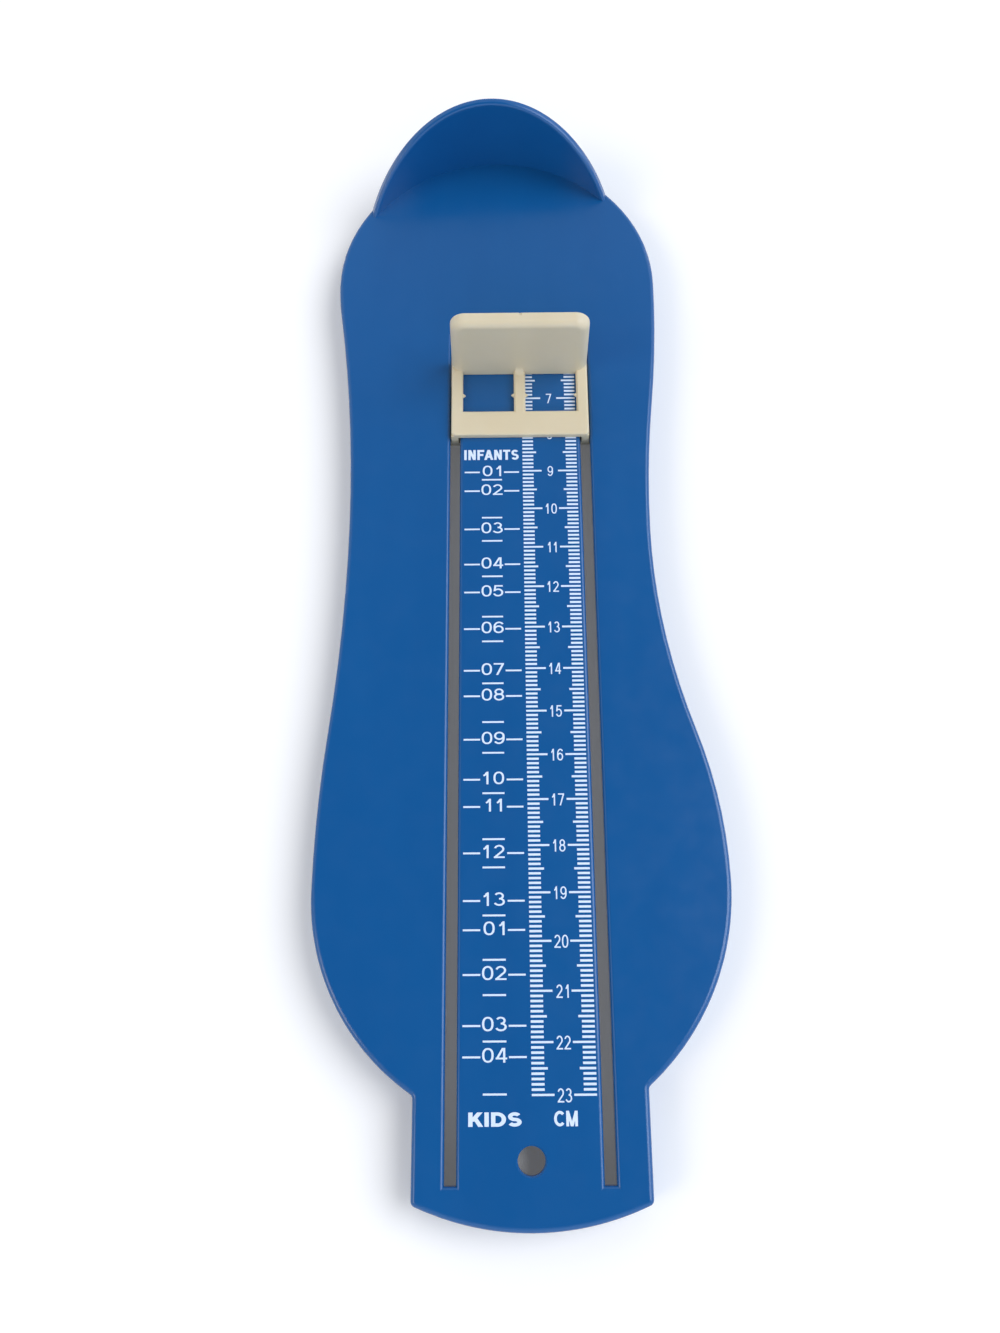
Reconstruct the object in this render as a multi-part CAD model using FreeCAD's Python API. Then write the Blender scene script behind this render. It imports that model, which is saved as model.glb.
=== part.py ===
"""A foot measuring gauge for children: a moulded sole-shaped plate and the toe slider that runs on it.

The plate is one thin-walled moulding: a flat deck on a skirt, with ribs underneath, a curved heel
stop at one end and a hanging tab at the other. Two long slots leave a ruler strip between them. The
toe slider bridges that strip. Its side walls pass down through the slots, and its prongs snap
through a clip plate under the strip, which keeps it on.

Frame: +Z up, +Y towards the heel, +X to the right of someone who looks from the toe end. The origin
is the middle of the footprint, on the table. Millimetres.
"""

import FreeCAD, Part  # noqa: E401  FreeCAD has to be imported first
import math
import os

from FreeCAD import Vector

# --- Sole outline, seen from above, at the level of the deck ---
HALF_LENGTH = 129.7
HALF_WIDTH = 44.7
LEFT, RIGHT = -1, 1  # the two sides, as signs along X
HEEL_RADIUS = 40.15
HEEL_X = -4.4  # the heel and the waist lie left of the middle
HEEL_FLANK_RADIUS = {LEFT: 60.0, RIGHT: 300.0}  # from the heel's widest point towards the waist
WAIST_X = {LEFT: -39.7, RIGHT: 31.6}
WAIST_Y = {LEFT: 22.0, RIGHT: 20.0}
HOLLOW_SHARE = {LEFT: 0.6, RIGHT: 0.6}  # share of the run from waist to ball that curves inwards
BALL_Y = {LEFT: -64.0, RIGHT: -62.0}
LOBE_RADIUS = {LEFT: 48.3, RIGHT: 53.5}  # the ball's round lower half, down to the tab

# --- Ruler strip, slots and tab ---
STRIP_X = 1.1  # middle of the ruler strip, and of all that slides on it
SLOT_INNER = 14.6  # from the strip's middle to the slot's near wall
SLOT_WIDTH = 2.4
SLOT_HEEL_END = 73.8
SLOT_TOE_END = -121.35
TAB_X = 1.4
TAB_HALF_WIDTH = 23.8
TAB_END_RADIUS = 58.8
HANG_HOLE_RADIUS = 2.75
HANG_HOLE_Y = -116.8
HANG_HOLE_BEVEL = 0.3

# --- Plate section ---
PLATE_HEIGHT = 8.0
DECK_THICKNESS = 2.4
SKIRT_THICKNESS = 2.0
SKIRT_FLARE = 0.3  # how far the skirt's foot stands out past the deck
EDGE_RADIUS = 1.1
SLOT_EDGE_RADIUS = 0.8
TAB_CORNER_RADIUS = 1.2
RIB_THICKNESS = 1.2
RIB_RECESS = 1.5  # from the table up to a rib's lower edge
RIB_HEEL_Y = 75.0  # the cross rib that closes the slots' heel end
RIB_TOE_Y = -104.4  # the last one, level with the tab's root, where both rails end
RIB_ROWS = 8
CLIP_LANE = 20.0  # half width kept clear under the strip for the clip plate

# --- Heel stop ---
HEEL_STOP_X = -6.2  # the arch's middle, a little to the left of the heel's
HEEL_STOP_HEIGHT = 19.9  # above the deck, at the arch's middle
HEEL_STOP_HALF_SPAN = 30.5  # from there to where the arched top comes down to the deck
HEEL_STOP_ROOT = 2.7
HEEL_STOP_TIP = 2.0
HEEL_STOP_LEAN = 0.2  # how far the outer face leans in by the top
HEEL_STOP_EDGE_RADIUS = 0.7
HEEL_STOP_SWEEP = 64.0  # degrees each side of the middle

# --- Toe slider ---
INDEX_Y = 55.6  # the pointers, with the slider as it stands at rest
SLIDER_HALF_WIDTH = 16.7
TOE_FACE = 10.25  # from the pointers to the face that the toes meet
SLIDER_TAIL = 11.2  # from the pointers to the other end
SLIDER_GAP = 0.15  # deck of the plate to the slider's underside
SLIDER_DECK = 1.4
TOE_WALL_HEIGHT = 20.0  # above the plate's deck
TOE_WALL_THICKNESS = 3.7
TOE_WALL_TAPER = 0.35  # how much narrower each side is at the top
TOE_WALL_CORNER = 3.6  # the top corners, seen from the toe end
TOE_WALL_TOP_EDGE = 1.4  # the toe face's rounding along the top
TOE_WALL_SIDE_EDGE = 2.8  # and down both sides
TOE_WALL_BACK_EDGE = 0.5
GUSSET_RADIUS = 1.6  # the hollow from the bar between the windows up to the wall
SLIDER_TAIL_CORNER = 1.0
SLIDER_RIM_RADIUS = 0.4
WINDOW_INNER = 1.4  # from the centre line to a window's near edge
WINDOW_OUTER = 13.9
WINDOW_TAIL = 4.55  # from the pointers to a window's tail edge; the other edge is flush with the wall
WINDOW_BEVEL = 0.4
POINTER_REACH = 0.65
POINTER_HALF_BASE = 0.5
POINTER_THICKNESS = 0.5
GATE_NICK_RADIUS = 0.45

# --- Side walls, prongs and clip plate ---
SIDE_WALL_THICKNESS = 1.7
SIDE_WALL_LENGTH = 20.8
PRONG_LENGTH = 8.0
PRONG_MIDDLE = -3.0  # from the pointers, along Y
PRONG_FOOT = 2.2  # height of the prong's tip above the table
PRONG_ROOT = 0.5  # how far a prong starts inside its side wall
BARB_REACH = 0.7
BARB_TIP_INSET = 0.5
CLIP_THICKNESS = 1.6
CLIP_GAP = 0.25  # strip's underside to the clip plate
CLIP_HALF_WIDTH = 18.8
CLIP_LENGTH = 16.0
CLIP_CORNER = 2.0
CLIP_BEVEL = 0.4
CLIP_HOLE_CLEARANCE = 0.1
CLIP_HOLE_FLEX = 0.9  # extra room on the inner side, where a prong bends as it snaps in

DECK_UNDERSIDE = PLATE_HEIGHT - DECK_THICKNESS
CLIP_TOP = DECK_UNDERSIDE - CLIP_GAP
CLIP_BOTTOM = CLIP_TOP - CLIP_THICKNESS
HEEL_Y = HALF_LENGTH - HEEL_RADIUS
OVERLAP = 1.0  # how far a cutting or joining shape runs past a face


def box(x0, x1, y0, y1, z0, z1):
    """A block between two corners."""
    return Part.makeBox(x1 - x0, y1 - y0, z1 - z0, Vector(x0, y0, z0))


def edges_where(shape, wanted):
    """The edges whose middle point passes the test."""
    found = []
    for edge in shape.Edges:
        middle = edge.valueAt((edge.FirstParameter + edge.LastParameter) / 2)
        if wanted(edge, middle):
            found.append(edge)
    return found


def arc_between(centre, start, end):
    """The shorter arc round a centre, from one point to another."""
    radius = (start - centre).Length
    bisector = (start - centre).normalize() + (end - centre).normalize()
    middle = centre + bisector.normalize() * radius
    return Part.Arc(start, middle, end).toShape()


def touching_point(centre_a, radius_a, centre_b):
    """Where two circles touch that lie outside each other."""
    return centre_a + (centre_b - centre_a).normalize() * radius_a


def sole_side(side, grow):
    """One side of the outline, as a list of arcs and a line from the heel's end to the tab's corner.

    Each arc leaves the one before it at a tangent: round heel and flank, hollow waist, ball, and the
    round lobe that the tab's straight side cuts off. grow moves the whole line outwards, as it makes
    the round arcs larger and the hollow ones smaller about the same centres.
    """
    heel = Vector(HEEL_X, HEEL_Y, 0)
    heel_end = heel + Vector(0, HEEL_RADIUS + grow, 0)
    widest = heel + Vector(side * (HEEL_RADIUS + grow), 0, 0)

    flank = HEEL_FLANK_RADIUS[side]
    flank_centre = heel + Vector(side * (HEEL_RADIUS - flank), 0, 0)
    waist = Vector(WAIST_X[side], WAIST_Y[side], 0)
    reach = side * (waist.x - flank_centre.x)
    drop = HEEL_Y - waist.y
    upper = (reach**2 + drop**2 - flank**2) / (2 * (flank - reach))
    upper_centre = waist + Vector(side * upper, 0, 0)
    flank_to_waist = touching_point(flank_centre, flank + grow, upper_centre)
    waist_point = waist + Vector(side * grow, 0, 0)

    ball = Vector(side * HALF_WIDTH, BALL_Y[side], 0)
    bulge = HALF_WIDTH - side * waist.x
    fall = waist.y - ball.y
    both = (bulge**2 + fall**2) / (2 * bulge)
    lower = HOLLOW_SHARE[side] * both
    lower_centre = waist + Vector(side * lower, 0, 0)
    ball_centre = ball - Vector(side * (both - lower), 0, 0)
    waist_to_ball = touching_point(lower_centre, lower - grow, ball_centre)
    ball_point = ball + Vector(side * grow, 0, 0)

    tab_x = TAB_X + side * (TAB_HALF_WIDTH + grow)
    lobe = LOBE_RADIUS[side] + grow
    lobe_centre = ball - Vector(side * LOBE_RADIUS[side], 0, 0)
    tab_root = Vector(tab_x, lobe_centre.y - math.sqrt(lobe**2 - (tab_x - lobe_centre.x) ** 2), 0)
    end_radius = TAB_END_RADIUS + grow
    end_drop = math.sqrt(end_radius**2 - (tab_x - TAB_X) ** 2)
    tab_corner = Vector(tab_x, TAB_END_RADIUS - HALF_LENGTH - end_drop, 0)

    return [
        arc_between(heel, heel_end, widest),
        arc_between(flank_centre, widest, flank_to_waist),
        arc_between(upper_centre, flank_to_waist, waist_point),
        arc_between(lower_centre, waist_point, waist_to_ball),
        arc_between(ball_centre, waist_to_ball, ball_point),
        arc_between(lobe_centre, ball_point, tab_root),
        Part.LineSegment(tab_root, tab_corner).toShape(),
    ], tab_corner


def sole_outline(grow, height):
    """The closed outline of the sole, moved outwards by grow, at one height."""
    left, left_corner = sole_side(LEFT, grow)
    right, right_corner = sole_side(RIGHT, grow)
    end = arc_between(Vector(TAB_X, TAB_END_RADIUS - HALF_LENGTH, 0), left_corner, right_corner)
    wire = Part.Wire(Part.__sortEdges__(left + [end] + right))
    wire.translate(Vector(0, 0, height))
    return wire


def drafted_prism(low_grow, low, high_grow, high):
    """A solid whose walls run straight from one outline to another."""
    return Part.makeLoft([sole_outline(low_grow, low), sole_outline(high_grow, high)], True, True)


def heel_stop():
    """The curved wall round the heel, arched along its top.

    It is a drafted ring section turned about the heel's centre, trimmed by a round bar that lies
    along Y. The bar's circle passes through the arch's top and through the deck at both ends.
    """
    foot = PLATE_HEIGHT - EDGE_RADIUS - 0.4
    top = PLATE_HEIGHT + HEEL_STOP_HEIGHT + OVERLAP
    tip_out = HEEL_RADIUS - HEEL_STOP_LEAN
    section = Part.makePolygon(
        [
            Vector(HEEL_RADIUS - HEEL_STOP_ROOT, 0, foot),
            Vector(HEEL_RADIUS, 0, foot),
            Vector(HEEL_RADIUS, 0, PLATE_HEIGHT),
            Vector(tip_out, 0, top),
            Vector(tip_out - HEEL_STOP_TIP, 0, top),
            Vector(HEEL_RADIUS - HEEL_STOP_ROOT, 0, PLATE_HEIGHT),
            Vector(HEEL_RADIUS - HEEL_STOP_ROOT, 0, foot),
        ]
    )
    ring = Part.Face(section).revolve(Vector(), Vector(0, 0, 1), 2 * HEEL_STOP_SWEEP)
    ring.rotate(Vector(), Vector(0, 0, 1), 90 - HEEL_STOP_SWEEP)
    ring.translate(Vector(HEEL_X, HEEL_Y, 0))

    arch_radius = (HEEL_STOP_HALF_SPAN**2 + HEEL_STOP_HEIGHT**2) / (2 * HEEL_STOP_HEIGHT)
    arch_z = PLATE_HEIGHT + HEEL_STOP_HEIGHT - arch_radius
    arch_start = Vector(HEEL_STOP_X, HEEL_Y, arch_z)
    arch = Part.makeCylinder(arch_radius, HEEL_RADIUS + OVERLAP, arch_start, Vector(0, 1, 0))
    wall = ring.common(arch)

    def on_arch(edge, middle):
        from_axis = math.hypot(middle.x - HEEL_STOP_X, middle.z - arch_z)
        return abs(from_axis - arch_radius) < 1e-3 and edge.Length > 2 * HEEL_STOP_ROOT

    return wall.makeFillet(HEEL_STOP_EDGE_RADIUS, edges_where(wall, on_arch))


def slot(side):
    """The space of one slot, as a cutter that runs right through the deck. Its corners are square."""
    middle = STRIP_X + side * (SLOT_INNER + SLOT_WIDTH / 2)
    return box(
        middle - SLOT_WIDTH / 2,
        middle + SLOT_WIDTH / 2,
        SLOT_TOE_END,
        SLOT_HEEL_END,
        -OVERLAP,
        PLATE_HEIGHT + OVERLAP,
    )


def rib(x0, x1, y0, y1):
    """One stiffening rib that hangs from the deck and stops short of the table."""
    return box(min(x0, x1), max(x0, x1), y0, y1, RIB_RECESS, DECK_UNDERSIDE + OVERLAP)


def ribs():
    """The ribs under the deck: a rail outside each slot, and cross ribs from the rails to the skirt.

    Between the slots' heel end and the tab nothing crosses the lane that the clip plate slides in.
    """
    pitch = (RIB_HEEL_Y - RIB_TOE_Y) / (RIB_ROWS - 1)
    pieces = []
    for side in (LEFT, RIGHT):
        rail = STRIP_X + side * CLIP_LANE
        pieces.append(rib(rail, rail + side * RIB_THICKNESS, RIB_TOE_Y, HALF_LENGTH))
        for row in range(RIB_ROWS):
            y = RIB_TOE_Y + row * pitch
            pieces.append(rib(rail, side * 2 * HALF_WIDTH, y, y + RIB_THICKNESS))
    for row in (0, 1):
        y = RIB_HEEL_Y + row * pitch
        pieces.append(rib(-2 * HALF_WIDTH, 2 * HALF_WIDTH, y, y + RIB_THICKNESS))
    return pieces[0].multiFuse(pieces[1:])


def base_plate():
    """The whole blue moulding: deck, skirt, ribs, slots, hanging hole and heel stop."""
    slab = drafted_prism(SKIRT_FLARE, 0, 0, PLATE_HEIGHT)

    def at_tab_corner(edge, middle):
        upright = abs(edge.tangentAt(edge.FirstParameter).z) > 0.9
        return upright and abs(abs(middle.x - TAB_X) - TAB_HALF_WIDTH) < 1 and middle.y < -HALF_LENGTH / 2

    slab = slab.makeFillet(TAB_CORNER_RADIUS, edges_where(slab, at_tab_corner))
    slab = slab.makeFillet(EDGE_RADIUS, edges_where(slab, lambda _, middle: middle.z > PLATE_HEIGHT - 0.01))

    inside = SKIRT_FLARE - SKIRT_THICKNESS
    hollow = drafted_prism(inside + SKIRT_FLARE, -OVERLAP, inside - SKIRT_FLARE, DECK_UNDERSIDE)
    plate = slab.fuse(heel_stop()).cut(hollow.cut(ribs()))

    hole_foot = Vector(TAB_X, HANG_HOLE_Y, 0)
    hole = Part.makeCylinder(HANG_HOLE_RADIUS, PLATE_HEIGHT + OVERLAP, hole_foot)
    plate = plate.cut(hole.multiFuse([slot(LEFT), slot(RIGHT)])).removeSplitter()

    def on_slot_rim(edge, middle):
        beside = SLOT_INNER - 0.01 < abs(middle.x - STRIP_X) < SLOT_INNER + SLOT_WIDTH + 0.01
        along = SLOT_TOE_END - 0.01 < middle.y < SLOT_HEEL_END + 0.01
        return beside and along and abs(middle.z - PLATE_HEIGHT) < 1e-3

    def on_hole_rim(_, middle):
        from_axis = math.hypot(middle.x - TAB_X, middle.y - HANG_HOLE_Y)
        return abs(from_axis - HANG_HOLE_RADIUS) < 1e-3 and abs(middle.z - PLATE_HEIGHT) < 1e-3

    plate = plate.makeChamfer(HANG_HOLE_BEVEL, edges_where(plate, on_hole_rim))
    return plate.makeFillet(SLOT_EDGE_RADIUS, edges_where(plate, on_slot_rim))


def rounded_edges(shape, radii):
    """The shape with each edge of a list rounded by its own radius, which may change along the edge."""
    document = FreeCAD.newDocument()
    block = document.addObject("Part::Feature", "Block")
    block.Shape = shape
    fillet = document.addObject("Part::Fillet", "Fillet")
    fillet.Base = block
    fillet.Edges = radii
    document.recompute()
    rounded = fillet.Shape.copy()
    FreeCAD.closeDocument(document.Name)
    return rounded


def toe_wall():
    """The slider's upright wall, with round top corners.

    The rounding of its toe face is wide down both sides and narrows over the corners to the top.
    """
    half_top = SLIDER_HALF_WIDTH - TOE_WALL_TAPER
    foot = PLATE_HEIGHT + SLIDER_GAP + SLIDER_DECK - SLIDER_RIM_RADIUS
    top = PLATE_HEIGHT + TOE_WALL_HEIGHT
    heel_face = INDEX_Y + TOE_FACE
    outline = Part.makePolygon(
        [
            Vector(-SLIDER_HALF_WIDTH, heel_face, foot),
            Vector(SLIDER_HALF_WIDTH, heel_face, foot),
            Vector(half_top, heel_face, top),
            Vector(-half_top, heel_face, top),
            Vector(-SLIDER_HALF_WIDTH, heel_face, foot),
        ]
    )
    wall = Part.Face(outline).extrude(Vector(0, -TOE_WALL_THICKNESS, 0))

    def at_top_corner(edge, middle):
        return abs(edge.tangentAt(edge.FirstParameter).y) > 0.9 and middle.z > top - 0.01

    wall = wall.makeFillet(TOE_WALL_CORNER, edges_where(wall, at_top_corner))

    def around_the_back(_, middle):
        return middle.y > heel_face - 0.01 and middle.z > foot + 0.01

    wall = wall.makeFillet(TOE_WALL_BACK_EDGE, edges_where(wall, around_the_back))
    radii = []
    for number, edge in enumerate(wall.Edges, 1):
        first, last = edge.valueAt(edge.FirstParameter), edge.valueAt(edge.LastParameter)
        middle = edge.valueAt((edge.FirstParameter + edge.LastParameter) / 2)
        if middle.y > heel_face - TOE_WALL_THICKNESS + 0.01 or middle.z < foot + 0.01:
            continue
        ends = [TOE_WALL_TOP_EDGE if end.z > top - 0.01 else TOE_WALL_SIDE_EDGE for end in (first, last)]
        radii.append((number, ends[0], ends[1]))
    wall = rounded_edges(wall, radii)
    nick = Part.makeCylinder(
        GATE_NICK_RADIUS, TOE_WALL_THICKNESS / 2, Vector(0, heel_face + OVERLAP, top), Vector(0, -1, 0)
    )
    return wall.cut(nick)


def window(side):
    """The space of one reading window, with a pointer left at each side.

    Its heel end is flush with the toe wall. The other edges are bevelled.
    """
    near, far = sorted((side * WINDOW_INNER, side * WINDOW_OUTER))
    tail, wall = INDEX_Y - WINDOW_TAIL, INDEX_Y + TOE_FACE - TOE_WALL_THICKNESS
    low, high = PLATE_HEIGHT, PLATE_HEIGHT + SLIDER_GAP + SLIDER_DECK
    opening = box(near, far, tail, wall, low, high)
    outlines = []
    for z, spread in ((high - WINDOW_BEVEL, 0), (high, WINDOW_BEVEL)):
        x0, x1, y0 = near - spread, far + spread, tail - spread
        corners = [(x0, y0), (x1, y0), (x1, wall), (x0, wall), (x0, y0)]
        outlines.append(Part.makePolygon([Vector(x, y, z) for x, y in corners]))
    space = opening.fuse(Part.makeLoft(outlines, True, True))
    foot = high - WINDOW_BEVEL - POINTER_THICKNESS
    for edge_x, inward in ((near, 1), (far, -1)):
        root = edge_x - inward * WINDOW_BEVEL
        corners = [
            Vector(root, INDEX_Y - POINTER_HALF_BASE, foot),
            Vector(edge_x, INDEX_Y - POINTER_HALF_BASE, foot),
            Vector(edge_x + inward * POINTER_REACH, INDEX_Y, foot),
            Vector(edge_x, INDEX_Y + POINTER_HALF_BASE, foot),
            Vector(root, INDEX_Y + POINTER_HALF_BASE, foot),
            Vector(root, INDEX_Y - POINTER_HALF_BASE, foot),
        ]
        rise = Vector(0, 0, POINTER_THICKNESS)
        space = space.cut(Part.Face(Part.makePolygon(corners)).extrude(rise))
    return space


def gusset():
    """The small hollow gusset that leads the bar between the windows up into the wall."""
    high = PLATE_HEIGHT + SLIDER_GAP + SLIDER_DECK
    wall = INDEX_Y + TOE_FACE - TOE_WALL_THICKNESS
    half = WINDOW_INNER - WINDOW_BEVEL
    centre = Vector(-half, wall - GUSSET_RADIUS, high + GUSSET_RADIUS)
    start, end = centre + Vector(0, GUSSET_RADIUS, 0), centre - Vector(0, 0, GUSSET_RADIUS)
    inside = SLIDER_DECK / 2  # how far it is sunk into both
    corners = [
        end,
        end + Vector(0, 0, -inside),
        Vector(-half, wall + inside, high - inside),
        start + Vector(0, inside, 0),
        start,
    ]
    outline = Part.Wire([arc_between(centre, start, end), *Part.makePolygon(corners).Edges])
    return Part.Face(outline).extrude(Vector(2 * half, 0, 0))


def side_wall(side):
    """A side wall down through its slot, and the barbed prong that goes on through the clip plate."""
    outer = side * SLIDER_HALF_WIDTH
    inner = side * (SLIDER_HALF_WIDTH - SIDE_WALL_THICKNESS)
    tail = INDEX_Y - SLIDER_TAIL
    wall = box(
        min(outer, inner),
        max(outer, inner),
        tail,
        tail + SIDE_WALL_LENGTH,
        CLIP_TOP,
        PLATE_HEIGHT + SLIDER_GAP + SLIDER_DECK / 2,
    )
    start = INDEX_Y + PRONG_MIDDLE - PRONG_LENGTH / 2
    section = Part.makePolygon(
        [
            Vector(inner, start, CLIP_TOP + PRONG_ROOT),
            Vector(outer, start, CLIP_TOP + PRONG_ROOT),
            Vector(outer, start, CLIP_BOTTOM),
            Vector(outer + side * BARB_REACH, start, CLIP_BOTTOM),
            Vector(outer - side * BARB_TIP_INSET, start, PRONG_FOOT),
            Vector(inner, start, PRONG_FOOT),
            Vector(inner, start, CLIP_TOP + PRONG_ROOT),
        ]
    )
    prong = Part.Face(section).extrude(Vector(0, PRONG_LENGTH, 0))
    return wall.fuse(prong)


def toe_slider():
    """The white moulding that is pushed against the toes: deck with two windows, wall and side walls."""
    low = PLATE_HEIGHT + SLIDER_GAP
    high = low + SLIDER_DECK
    tail = INDEX_Y - SLIDER_TAIL
    deck = box(-SLIDER_HALF_WIDTH, SLIDER_HALF_WIDTH, tail, INDEX_Y + TOE_FACE, low, high)

    def at_tail_corner(edge, middle):
        return abs(edge.tangentAt(edge.FirstParameter).z) > 0.9 and middle.y < tail + 0.01

    deck = deck.makeFillet(SLIDER_TAIL_CORNER, edges_where(deck, at_tail_corner))

    def on_open_rim(_, middle):
        return middle.z > high - 0.01 and middle.y < INDEX_Y + TOE_FACE - 0.01

    deck = deck.makeFillet(SLIDER_RIM_RADIUS, edges_where(deck, on_open_rim))
    deck = deck.cut(window(LEFT)).cut(window(RIGHT))
    slider = deck.multiFuse([toe_wall(), gusset(), side_wall(LEFT), side_wall(RIGHT)]).removeSplitter()
    slider.translate(Vector(STRIP_X, 0, 0))
    return slider


def slider_clip():
    """The clip plate under the strip, held between the side walls' shoulders and the prongs' barbs."""
    middle = INDEX_Y + PRONG_MIDDLE
    plate = box(
        -CLIP_HALF_WIDTH,
        CLIP_HALF_WIDTH,
        middle - CLIP_LENGTH / 2,
        middle + CLIP_LENGTH / 2,
        CLIP_BOTTOM,
        CLIP_TOP,
    )
    uprights = edges_where(plate, lambda edge, _: abs(edge.tangentAt(edge.FirstParameter).z) > 0.9)
    plate = plate.makeFillet(CLIP_CORNER, uprights)
    plate = plate.makeChamfer(CLIP_BEVEL, edges_where(plate, lambda _, at: at.z < CLIP_BOTTOM + 0.01))
    for side in (LEFT, RIGHT):
        outer = side * (SLIDER_HALF_WIDTH + CLIP_HOLE_CLEARANCE)
        inner = side * (SLIDER_HALF_WIDTH - SIDE_WALL_THICKNESS - CLIP_HOLE_FLEX)
        half = PRONG_LENGTH / 2 + CLIP_HOLE_CLEARANCE
        hole = box(
            min(outer, inner),
            max(outer, inner),
            middle - half,
            middle + half,
            CLIP_BOTTOM - OVERLAP,
            CLIP_TOP + OVERLAP,
        )
        plate = plate.cut(hole)
    plate.translate(Vector(STRIP_X, 0, 0))
    return plate


def main():
    os.makedirs("parts", exist_ok=True)
    pieces = {"base_plate": base_plate(), "toe_slider": toe_slider(), "slider_clip": slider_clip()}
    for name, shape in pieces.items():
        bounds = shape.optimalBoundingBox()
        print(
            f"{name}: valid {shape.isValid()}, solids {len(shape.Solids)}, volume {shape.Volume:.0f} mm3, "
            f"x {bounds.XMin:.2f} to {bounds.XMax:.2f}, y {bounds.YMin:.2f} to {bounds.YMax:.2f}, "
            f"z {bounds.ZMin:.2f} to {bounds.ZMax:.2f}"
        )
        shape.exportStep(f"parts/{name}.step")


main()
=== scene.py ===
"""A children's foot gauge: a blue moulded sole plate with a printed scale, and the ivory slider on it.

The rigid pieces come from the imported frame. This script gives them their plastics, prints the scale
on the deck, and sets up the studio. Metres, with +Y to the heel, +X to the right and +Z up.
"""

import math

import bpy
import numpy as np
from mathutils import Euler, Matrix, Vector


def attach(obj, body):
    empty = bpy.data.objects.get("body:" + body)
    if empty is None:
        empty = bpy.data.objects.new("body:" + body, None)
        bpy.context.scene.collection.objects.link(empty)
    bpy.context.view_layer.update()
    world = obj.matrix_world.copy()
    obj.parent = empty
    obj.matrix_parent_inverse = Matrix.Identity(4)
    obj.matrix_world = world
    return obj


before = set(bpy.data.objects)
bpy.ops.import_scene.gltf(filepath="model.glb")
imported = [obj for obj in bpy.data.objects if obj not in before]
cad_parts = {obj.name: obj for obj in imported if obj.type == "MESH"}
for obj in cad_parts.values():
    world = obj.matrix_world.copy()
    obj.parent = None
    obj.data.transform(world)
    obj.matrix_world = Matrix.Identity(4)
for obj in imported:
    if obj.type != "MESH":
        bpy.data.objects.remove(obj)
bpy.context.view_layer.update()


# --- Sole plate ------------------------------------------------------------------------------------
# One shot of blue ABS, moulded glossy, so it mirrors the room softly and shows faint flow streaks
# that run from the gate along its length, and a slow waviness where the thick ribs cooled last.

MM = 0.001


def linear(hex_colour):
    """An sRGB hex colour as linear RGBA: below 0.04045 divided by 12.92, else a 2.4 power curve."""
    srgb = np.array([int(hex_colour[i : i + 2], 16) for i in (1, 3, 5)]) / 255
    curve = np.where(srgb <= 0.04045, srgb / 12.92, ((srgb + 0.055) / 1.055) ** 2.4)
    return (*curve.tolist(), 1.0)


def node(tree, kind, inputs=(), **settings):
    """Adds a node, sets its properties, and gives its inputs values or links from other sockets."""
    new = tree.nodes.new(kind)
    for name, value in settings.items():
        setattr(new, name, value)
    for socket, value in dict(inputs).items():
        if isinstance(value, bpy.types.NodeSocket):
            tree.links.new(value, new.inputs[socket])
        else:
            new.inputs[socket].default_value = value
    return new


def material(name):
    """A new material with an empty node tree."""
    made = bpy.data.materials.new(name)
    made.use_nodes = True
    made.node_tree.nodes.clear()
    return made


plate_blue = material("injection-moulded_ABS_blue")
tree = plate_blue.node_tree
place = node(tree, "ShaderNodeTexCoord").outputs["Object"]
along_flow = node(tree, "ShaderNodeMapping", {"Vector": place, "Scale": (1.0, 0.18, 1.0)})
streaks = node(
    tree, "ShaderNodeTexNoise",
    {"Vector": along_flow.outputs[0], "Scale": 1 / (14 * MM), "Detail": 4.0, "Roughness": 0.55},
)
tint = node(
    tree, "ShaderNodeMix",
    {"Factor": streaks.outputs["Fac"], "A": linear("#085189"), "B": linear("#0D5992")},
    data_type="RGBA",
)
rub = node(tree, "ShaderNodeTexNoise", {"Vector": place, "Scale": 1 / (5 * MM), "Detail": 6.0})
gloss = node(
    tree, "ShaderNodeMapRange",
    {"Value": rub.outputs["Fac"], "From Min": 0.35, "From Max": 0.7, "To Min": 0.2, "To Max": 0.27},
)
waves = node(tree, "ShaderNodeTexNoise", {"Vector": place, "Scale": 1 / (22 * MM), "Detail": 1.0})
wavy = node(
    tree, "ShaderNodeBump",
    {"Height": waves.outputs["Fac"], "Strength": 0.5, "Distance": 0.06 * MM},
)
# Real orange peel is finer than this; it is drawn at 1.5 mm so that it shows.
peel = node(tree, "ShaderNodeTexNoise", {"Vector": place, "Scale": 1 / (1.5 * MM), "Detail": 2.0})
surface = node(
    tree, "ShaderNodeBump",
    {
        "Height": peel.outputs["Fac"], "Normal": wavy.outputs[0],
        "Strength": 0.35, "Distance": 0.006 * MM,
    },
)
plastic = node(
    tree, "ShaderNodeBsdfPrincipled",
    {
        "Base Color": tint.outputs["Result"], "Roughness": gloss.outputs[0],
        "IOR": 1.53, "Normal": surface.outputs[0],
    },
)
node(tree, "ShaderNodeOutputMaterial", {"Surface": plastic.outputs[0]})
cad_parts["base_plate"].data.materials[0] = plate_blue


# --- Printed scale ---------------------------------------------------------------------------------
# White ink, pad-printed on the strip between the slots: centimetre and millimetre ticks in two
# columns with numbers between them, and a column of shoe sizes. It covers the blue a little unevenly,
# so it is faintly cloudy. The film is far thinner in life.

DECK_TOP = 8.0 * MM
INK_TOP = DECK_TOP + 0.03 * MM
INK_FOOT = DECK_TOP - 0.02 * MM
INK_LAYER = 0.003 * MM
RULER_X = 1.4  # mm, the ruler's centre line
RULER_ZERO_Y = 125.35  # mm, where the centimetre scale would read zero; readings grow towards -Y


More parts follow.
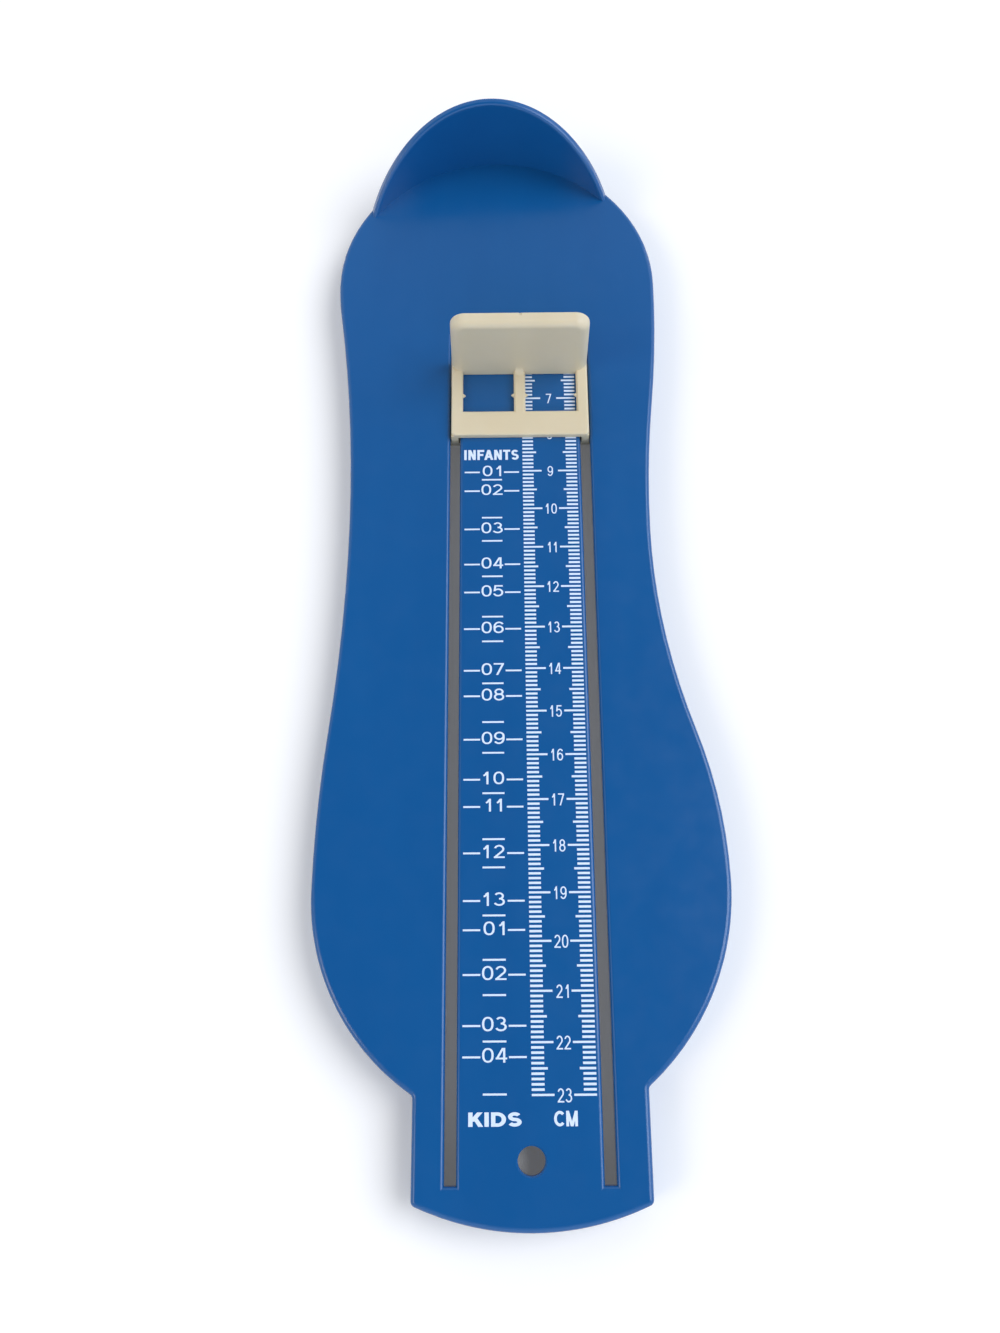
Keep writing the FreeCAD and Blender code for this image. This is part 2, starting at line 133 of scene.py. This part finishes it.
def bands(lefts, rights, closed=False, layer=0):
    """Prisms of ink over flat bands.

    lefts and rights hold the bands' two edges, as arrays of (band, point, xy) in millimetres. Each
    point gives a rectangle across the band from the ink's top to its foot, and the rectangles are
    joined round and along. An open band gets a face at each end. Each layer is a little higher than
    the one before it, so that strokes that cross don't share a top.
    """
    count, length = lefts.shape[:2]
    low = np.full((count, length, 1), INK_FOOT)
    high = np.full((count, length, 1), INK_TOP + layer * INK_LAYER)
    a, b = lefts * MM, rights * MM
    ring = np.stack(
        [np.concatenate(pair, -1) for pair in ((a, high), (a, low), (b, low), (b, high))], 2
    )
    steps = np.arange(length if closed else length - 1)
    step, side = np.meshgrid(steps, np.arange(4), indexing="ij")
    following, beside = (step + 1) % length, (side + 1) % 4
    walls = np.stack(
        [step * 4 + side, step * 4 + beside, following * 4 + beside, following * 4 + side], -1
    )
    quads = walls.reshape(-1, 4)
    if not closed:
        last = (length - 1) * 4
        ends = [[3, 2, 1, 0], [last, last + 1, last + 2, last + 3]]
        quads = np.concatenate([quads, ends])
    quads = quads + np.arange(count)[:, None, None] * length * 4
    return ring.reshape(-1, 3), quads.reshape(-1, 4)


def piece_from(name, parts, finish, body):
    """One mesh object from several (vertices, faces) pairs, riding on a body."""
    starts = np.cumsum([0] + [len(points) for points, _ in parts])
    points = np.concatenate([points for points, _ in parts])
    faces = np.concatenate([faces + start for (_, faces), start in zip(parts, starts)])
    mesh = bpy.data.meshes.new(name)
    mesh.from_pydata(points.tolist(), [], faces.tolist())
    mesh.update()
    piece = bpy.data.objects.new(name, mesh)
    bpy.context.scene.collection.objects.link(piece)
    mesh.materials.append(finish)
    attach(piece, body)
    return piece


def bars(x0, x1, reading, thickness):
    """Ink bars across the strip, each a rectangle about its reading on the scale.

    x0 and x1 are its ends, from the ruler's centre line. All are in millimetres.
    """
    x0, x1, reading, thickness = np.broadcast_arrays(*np.atleast_1d(x0, x1, reading, thickness))
    y = RULER_ZERO_Y - reading
    ends = np.stack([x0, x1], -1) + RULER_X
    upper = np.stack([ends, np.repeat((y + thickness / 2)[:, None], 2, 1)], -1)
    lower = np.stack([ends, np.repeat((y - thickness / 2)[:, None], 2, 1)], -1)
    return bands(upper, lower)


ink = material("pad-printed_ink_white")
tree = ink.node_tree
place = node(tree, "ShaderNodeTexCoord").outputs["Object"]
cover = node(tree, "ShaderNodeTexNoise", {"Vector": place, "Scale": 1 / (0.6 * MM), "Detail": 3.0})
tone = node(
    tree, "ShaderNodeMix",
    {"Factor": cover.outputs["Fac"], "A": linear("#D9E4F3"), "B": linear("#E6EEF8")},
    data_type="RGBA",
)
film = node(
    tree, "ShaderNodeBsdfPrincipled",
    {"Base Color": tone.outputs["Result"], "Roughness": 0.42, "IOR": 1.48},
)
node(tree, "ShaderNodeOutputMaterial", {"Surface": film.outputs[0]})

# All in millimetres. The ticks differ at whole centimetres, at halves and at the rest.
FIRST_TICK = 60
LAST_TICK = 230
TICK_COLUMN = (0.2, 13.25)  # from the centre line, where the ticks of the two columns start
TICK_LENGTHS = {10: 4.55, 5: 3.3, 1: 2.6}
TICK_THICKNESS = {10: 0.42, 5: 0.46, 1: 0.48}

reading = np.arange(FIRST_TICK, LAST_TICK + 1)
kind = np.where(reading % 10 == 0, 10, np.where(reading % 5 == 0, 5, 1))
length = np.vectorize(TICK_LENGTHS.get)(kind)
thickness = np.vectorize(TICK_THICKNESS.get)(kind)
piece_from(
    "print_centimetre_ticks",
    [
        bars(TICK_COLUMN[0], TICK_COLUMN[0] + length, reading, thickness),
        bars(TICK_COLUMN[1] - length, TICK_COLUMN[1], reading, thickness),
    ],
    ink, "base",
)

# The shoe sizes and their halves take turns down the strip, so many millimetres apart. A size has a
# dash at each side of its number, and a half has one bar in the middle.
FIRST_SIZE = 90.3
SIZE_STEPS = (
    2, 3, 7, 3, 3, 6, 3, 4, 6, 3, 3, 7, 3, 3, 6, 4, 3,
    6, 3, 3, 7, 3, 3, 7, 3, 3, 6, 3, 4, 6, 3, 3, 7,
)
SIZE_UNIT = 1.004  # the column is printed a touch long against the ruler
SIZE_LINE = 0.38
HALF_BAR = 4.8
SIZE_CENTRE = -7.2
SIZE_DASHES = ((-13.75, -10.1), (-4.3, -0.7))

marks = FIRST_SIZE + SIZE_UNIT * np.cumsum((0,) + SIZE_STEPS)
sizes, halves = marks[::2], marks[1::2]
piece_from(
    "print_size_lines",
    [bars(start, end, sizes, SIZE_LINE) for start, end in SIZE_DASHES]
    + [bars(SIZE_CENTRE - HALF_BAR / 2, SIZE_CENTRE + HALF_BAR / 2, halves, SIZE_LINE)],
    ink, "base",
)


# --- Printed numbers and words ---------------------------------------------------------------------
# Plain sans-serif characters of the same ink. Each is a few strokes: curves of even width, and
# slanted or straight bars with level ends. The size column's digits are stretched wide.

def curve(centre, radius, start, end, points=25):
    """An elliptic arc's centre line, in the unit square, from one angle to another in degrees.

    Across it is the centre plus the radius times the cosine, and up it is the same with the sine.
    """
    angle = np.radians(np.linspace(start, end, points))
    return np.stack([centre[0] + radius[0] * np.cos(angle), centre[1] + radius[1] * np.sin(angle)], -1)


def join(*runs):
    """Several runs of points as one path."""
    return np.concatenate([np.asarray(run, float).reshape(-1, 2) for run in runs])


# A nought is a circle whose coordinates are raised to a power below one, which squares it a little.
NOUGHT_POWER = 0.86
RING = 2 * curve((0.5, 0.5), (0.5, 0.5), 0, 360, 41)[:-1] - 1
SIX = [
    curve((0.5, 0.31), (0.5, 0.31), 0, 360, 33)[:-1],
    join(curve((0.56, 0.56), (0.56, 0.44), 38, 180), curve((0.5, 0.38), (0.5, 0.38), 180, 200, 5)),
]
# Each character is its strokes in the unit square. A pair of points is a bar, and a curve whose ends
# are this close is a closed ring.
RING_GAP = 0.2
CHARACTERS = {
    "0": [0.5 + 0.5 * np.sign(RING) * np.abs(RING) ** NOUGHT_POWER],
    "1": [[(1.0, 0.0), (1.0, 1.0)], curve((-0.08, 1.28), (1.0, 0.56), -88, -31, 9)],
    "2": [join(curve((0.49, 0.71), (0.47, 0.29), 165, -35), [(0.0, 0.0)]), [(0.0, 0.0), (1.0, 0.0)]],
    "3": [curve((0.45, 0.76), (0.42, 0.24), 155, -90), curve((0.46, 0.27), (0.52, 0.27), 90, -160)],
    "4": [[(0.0, 0.26), (0.7, 1.0)], [(0.0, 0.25), (1.0, 0.25)], [(0.8, 0.0), (0.8, 1.0)]],
    "5": [
        [(0.14, 1.0), (0.94, 1.0)],
        [(0.02, 0.47), (0.15, 1.0)],
        curve((0.46, 0.33), (0.52, 0.33), 142, -160),
    ],
    "6": SIX,
    "7": [[(0.0, 1.0), (1.0, 1.0)], [(0.28, 0.0), (1.0, 0.93)]],
    "8": [
        curve((0.5, 0.76), (0.43, 0.24), 0, 360, 33)[:-1],
        curve((0.5, 0.27), (0.5, 0.27), 0, 360, 33)[:-1],
    ],
    "9": [1 - stroke for stroke in SIX],
    "A": [[(0.0, 0.0), (0.5, 1.0)], [(1.0, 0.0), (0.5, 1.0)], [(0.2, 0.27), (0.8, 0.27)]],
    "C": [curve((0.52, 0.5), (0.52, 0.5), 42, 318, 33)],
    "D": [
        [(0.0, 0.0), (0.0, 1.0)],
        join(
            [(0.0, 1.0), (0.3, 1.0)], curve((0.4, 0.5), (0.6, 0.5), 90, -90), [(0.3, 0.0), (0.0, 0.0)],
        ),
    ],
    "F": [[(0.0, 0.0), (0.0, 1.0)], [(0.0, 1.0), (1.0, 1.0)], [(0.0, 0.5), (0.88, 0.5)]],
    "I": [[(0.5, 0.0), (0.5, 1.0)]],
    "K": [[(0.0, 0.0), (0.0, 1.0)], [(0.06, 0.36), (0.94, 1.0)], [(0.4, 0.62), (1.0, 0.0)]],
    "M": [
        [(0.0, 0.0), (0.0, 1.0)],
        [(1.0, 0.0), (1.0, 1.0)],
        [(0.0, 1.0), (0.5, 0.0)],
        [(1.0, 1.0), (0.5, 0.0)],
    ],
    "N": [[(0.0, 0.0), (0.0, 1.0)], [(1.0, 0.0), (1.0, 1.0)], [(0.0, 1.0), (1.0, 0.0)]],
    "S": [
        join(curve((0.5, 0.75), (0.46, 0.25), 28, 270), curve((0.5, 0.25), (0.5, 0.25), 90, -155)[1:]),
    ],
    "T": [[(0.5, 0.0), (0.5, 1.0)], [(0.0, 1.0), (1.0, 1.0)]],
}


def bar_edges(path, size, stroke):
    """A straight stroke's two edges, in a character of a size.

    A level bar runs between its ends and is thick up and down. Any other is cut level at its ends
    and as thick across itself, so sideways it is thicker by one over the sine of its slope.
    """
    (u0, v0), (u1, v1) = np.asarray(path) - 0.5
    width, height = size
    if v0 == v1:
        y = v0 * (height - stroke)
        ends = np.array([(u0 * width, y), (u1 * width, y)])
        offset = np.array([0, stroke / 2])
    else:
        run, rise = (u1 - u0) * (width - stroke), (v1 - v0) * height
        thick = stroke * math.hypot(run, rise) / abs(rise)
        ends = np.array([(u0 * (width - thick), v0 * height), (u1 * (width - thick), v1 * height)])
        offset = np.array([-thick / 2 if rise > 0 else thick / 2, 0])
    return ends + offset, ends - offset


def curve_edges(path, size, stroke, closed):
    """A curved stroke's two edges, half a stroke to each side of its centre line."""
    path = (path - 0.5) * (np.array(size) - stroke)
    if closed:
        tangent = np.roll(path, -1, 0) - np.roll(path, 1, 0)
    else:
        tangent = np.gradient(path, axis=0)
    tangent = tangent / np.linalg.norm(tangent, axis=1, keepdims=True)
    normal = np.stack([-tangent[:, 1], tangent[:, 0]], -1) * stroke / 2
    return path + normal, path - normal


def character(letter, centre, width, height, stroke, stretch):
    """A character's ink. It is drawn narrow with even strokes, and then stretched sideways."""
    size = (width / stretch, height)
    parts = []
    for layer, path in enumerate(CHARACTERS[letter]):
        closed = len(path) > 2 and np.linalg.norm(path[0] - path[-1]) < RING_GAP
        if len(path) == 2:
            edges = bar_edges(path, size, stroke)
        else:
            edges = curve_edges(path, size, stroke, closed)
        left, right = [(edge * (stretch, 1) + centre)[None] for edge in edges]
        parts.append(bands(left, right, closed, layer))
    return parts


def text(words, centre_x, reading, widths, gaps, height, stroke, stretch=1.0):
    """A row of characters in millimetres, centred on a point of the scale, with gaps between them."""
    lefts = np.concatenate([[0], np.cumsum(np.array(widths[:-1]) + gaps)])
    centres = lefts + np.array(widths) / 2 - (lefts[-1] + widths[-1]) / 2
    parts = []
    for letter, offset, width in zip(words, centres, widths):
        centre = (RULER_X + centre_x + offset, RULER_ZERO_Y - reading)
        parts += character(letter, centre, width, height, stroke, stretch)
    return parts


# A one is narrow, and has a little more room before it, and still more after it. These are shares of
# a digit's width.
ONE_WIDTH = 0.55
BEFORE_ONE = 0.17
AFTER_ONE = 0.3


def number(digits, centre_x, reading, width, gap, height, stroke, stretch=1.0):
    """A number, all of whose digits are equally wide but for its ones."""
    ones = np.array([digit == "1" for digit in digits])
    widths = np.where(ones, ONE_WIDTH * width, width)
    gaps = gap + width * np.maximum(BEFORE_ONE * ones[1:], AFTER_ONE * ones[:-1])
    return text(digits, centre_x, reading, widths, gaps, height, stroke, stretch)


SIZE_DIGITS = {"width": 2.33, "gap": 0.4, "height": 2.8, "stroke": 0.34, "stretch": 1.3}
CM_DIGITS = {"width": 1.32, "gap": 0.28, "height": 2.65, "stroke": 0.28}
SIZE_NUMBER_SHIFT = -0.37  # how far a number is printed off its mark
CM_NUMBER_SHIFT = 0.1
CM_CENTRE = 6.82
INFANT_SIZES = 13  # after these the count starts again

counts = [*range(1, INFANT_SIZES + 1), *range(1, len(sizes) - INFANT_SIZES + 1)]
piece_from(
    "print_size_numbers",
    [
        part
        for count, mark in zip(counts, sizes)
        for part in number(f"{count:02d}", SIZE_CENTRE, mark + SIZE_NUMBER_SHIFT, **SIZE_DIGITS)
    ],
    ink, "base",
)
piece_from(
    "print_centimetre_numbers",
    [
        part
        for mark in range(FIRST_TICK // 10, LAST_TICK // 10 + 1)
        for part in number(str(mark), CM_CENTRE, mark * 10 + CM_NUMBER_SHIFT, **CM_DIGITS)
    ],
    ink, "base",
)
infants = text(
    "INFANTS", SIZE_CENTRE - 0.1, reading=85.6,
    widths=(0.62, 1.8, 1.65, 2.18, 1.85, 1.72, 1.8), gaps=(0.38, 0.38, 0.02, 0.22, 0.3, 0.25),
    height=2.7, stroke=0.52, stretch=1.15,
)
kids = text(
    "KIDS", SIZE_CENTRE, reading=234.5,
    widths=(2.98, 0.92, 2.98, 2.78), gaps=(0.22, 0.42, 0.33), height=2.65, stroke=0.62, stretch=1.4,
)
centimetres = text(
    "CM", CM_CENTRE + 0.1, reading=234.4, widths=(2.22, 2.3), gaps=(0.2,), height=2.87, stroke=0.54,
)
piece_from("print_words", infants + kids + centimetres, ink, "base")


# --- Toe slider and its clip -----------------------------------------------------------------------
# Two mouldings of ivory-white polypropylene, slightly milky, so light sinks in a little at the thin
# edges. It is less glossy than the plate. The clip plate is snapped onto the slider's two prongs.

slider_white = material("injection-moulded_polypropylene_ivory")
tree = slider_white.node_tree
place = node(tree, "ShaderNodeTexCoord").outputs["Object"]
clouds = node(tree, "ShaderNodeTexNoise", {"Vector": place, "Scale": 1 / (9 * MM), "Detail": 3.0})
tint = node(
    tree, "ShaderNodeMix",
    {"Factor": clouds.outputs["Fac"], "A": linear("#DCC9A3"), "B": linear("#E4D2AF")},
    data_type="RGBA",
)
rub = node(tree, "ShaderNodeTexNoise", {"Vector": place, "Scale": 1 / (3 * MM), "Detail": 5.0})
gloss = node(
    tree, "ShaderNodeMapRange",
    {"Value": rub.outputs["Fac"], "From Min": 0.3, "From Max": 0.7, "To Min": 0.33, "To Max": 0.43},
)
waves = node(tree, "ShaderNodeTexNoise", {"Vector": place, "Scale": 1 / (8 * MM), "Detail": 2.0})
soft = node(
    tree, "ShaderNodeBump",
    {"Height": waves.outputs["Fac"], "Strength": 0.4, "Distance": 0.04 * MM},
)
plastic = node(
    tree, "ShaderNodeBsdfPrincipled",
    {
        "Base Color": tint.outputs["Result"], "Roughness": gloss.outputs[0], "IOR": 1.49,
        "Subsurface Weight": 0.25, "Subsurface Radius": (1.0, 0.8, 0.55), "Subsurface Scale": 1.5 * MM,
        "Normal": soft.outputs[0],
    },
)
node(tree, "ShaderNodeOutputMaterial", {"Surface": plastic.outputs[0]})
for name in ("toe_slider", "slider_clip"):
    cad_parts[name].data.materials[0] = slider_white


# --- Studio ----------------------------------------------------------------------------------------
# A pale table in a room whose walls are brighter than its ceiling and its corners. A broad window is
# on the right, a warm lamp on the left, and an open door at the toe end.

FLOOR = 40.0  # metres from the middle to each edge
FLOOR_Z = -0.1 * MM  # just clear of the plate's foot
floor_mesh = bpy.data.meshes.new("floor")
corners = [(x * FLOOR, y * FLOOR, FLOOR_Z) for x, y in ((-1, -1), (1, -1), (1, 1), (-1, 1))]
floor_mesh.from_pydata(corners, [], [(0, 1, 2, 3)])
floor = bpy.data.objects.new("floor", floor_mesh)
bpy.context.scene.collection.objects.link(floor)
# The table is white to look at, and greyer to the light that it throws back on the plate.
table = material("painted_table_white")
tree = table.node_tree
rays = node(tree, "ShaderNodeLightPath")
seen_or_mirrored = node(
    tree, "ShaderNodeMath",
    {0: rays.outputs["Is Camera Ray"], 1: rays.outputs["Is Glossy Ray"]}, operation="MAXIMUM",
)
seen = node(
    tree, "ShaderNodeMath",
    {0: seen_or_mirrored.outputs[0], 1: rays.outputs["Is Transmission Ray"]}, operation="MAXIMUM",
)
paint = node(
    tree, "ShaderNodeMix",
    {"Factor": seen.outputs[0], "A": linear("#CBCBCB"), "B": linear("#FEF7ED")},
    data_type="RGBA",
)
matt = node(tree, "ShaderNodeBsdfDiffuse", {"Color": paint.outputs["Result"]})
# It also glows a little to look at, so that it isn't black through the slots and the hole.
TABLE_GLOW = 0.09
faint = node(tree, "ShaderNodeMath", {0: seen.outputs[0], 1: TABLE_GLOW}, operation="MULTIPLY")
glow = node(tree, "ShaderNodeEmission", {"Strength": faint.outputs[0]})
lit = node(tree, "ShaderNodeAddShader", {0: matt.outputs[0], 1: glow.outputs[0]})
node(tree, "ShaderNodeOutputMaterial", {"Surface": lit.outputs[0]})
floor_mesh.materials.append(table)

# The room is warm and dim overhead, brightest at mid height, and bluish from there down.
world = bpy.data.worlds.new("studio")
world.use_nodes = True
bpy.context.scene.world = world
tree = world.node_tree
tree.nodes.clear()
direction = node(tree, "ShaderNodeTexCoord").outputs["Generated"]
height = node(tree, "ShaderNodeSeparateXYZ", {0: direction}).outputs["Z"]
upper = node(
    tree, "ShaderNodeMapRange",
    {"Value": height, "From Min": 0.45, "From Max": 0.97, "To Min": 1.3, "To Max": 0.1},
    interpolation_type="SMOOTHSTEP",
)
lower = node(
    tree, "ShaderNodeMapRange",
    {"Value": height, "From Min": 0.0, "From Max": 0.45, "To Min": 0.7, "To Max": 1.3},
    interpolation_type="SMOOTHSTEP",
)
bright = node(
    tree, "ShaderNodeMath", {0: upper.outputs[0], 1: lower.outputs[0]}, operation="MINIMUM",
)
tone = node(
    tree, "ShaderNodeMix",
    {"Factor": upper.outputs[0], "A": linear("#FFF4E2"), "B": linear("#D2E4FF")},
    data_type="RGBA",
)
room = node(
    tree, "ShaderNodeBackground", {"Color": tone.outputs["Result"], "Strength": bright.outputs[0]},
)
backdrop = node(tree, "ShaderNodeBackground", {"Color": linear("#FFFFFF"), "Strength": 1.0})
sight = node(tree, "ShaderNodeLightPath").outputs["Is Camera Ray"]
around = node(tree, "ShaderNodeMixShader", {0: sight, 1: room.outputs[0], 2: backdrop.outputs[0]})
node(tree, "ShaderNodeOutputWorld", {"Surface": around.outputs[0]})


def far_light(name, place, degrees_wide, strength, hex_colour):
    """A soft light so far away in a direction that it falls alike on the whole table."""
    data = bpy.data.lights.new(name, "SUN")
    data.angle = math.radians(degrees_wide)
    data.energy = strength
    data.color = linear(hex_colour)[:3]
    light = bpy.data.objects.new(name, data)
    light.location = place
    light.rotation_euler = (-Vector(place)).to_track_quat("-Z", "Y").to_euler()
    bpy.context.scene.collection.objects.link(light)


far_light("window", (0.62, 0.12, 0.7), degrees_wide=45.0, strength=2.0, hex_colour="#E4EEFF")
far_light("room_lamp", (-0.7, -0.25, 0.6), degrees_wide=24.0, strength=0.55, hex_colour="#FFEFD8")
far_light("open_door", (0.05, -0.9, 0.3), degrees_wide=60.0, strength=0.4, hex_colour="#BCD8FF")

# The camera looks down from above the toe end.
CAMERA_PLACE = (-3.0, -93.0, 244.0)  # mm
CAMERA_TURN = (18.465, 0.41, -0.371)  # degrees
FRAME_LONG_SIDE = 1333  # pixels
FOCAL_LENGTH = 1100  # pixels
SENSOR = 36.0  # mm
NEAREST_SEEN = 0.01  # metres
camera_data = bpy.data.cameras.new("camera")
camera_data.sensor_width = SENSOR
camera_data.lens = FOCAL_LENGTH / FRAME_LONG_SIDE * SENSOR
camera_data.clip_start = NEAREST_SEEN
camera = bpy.data.objects.new("camera", camera_data)
camera.location = [along * MM for along in CAMERA_PLACE]
camera.rotation_euler = Euler([math.radians(turn) for turn in CAMERA_TURN])
bpy.context.scene.collection.objects.link(camera)
bpy.context.scene.camera = camera

bpy.context.scene.view_settings.view_transform = "Standard"
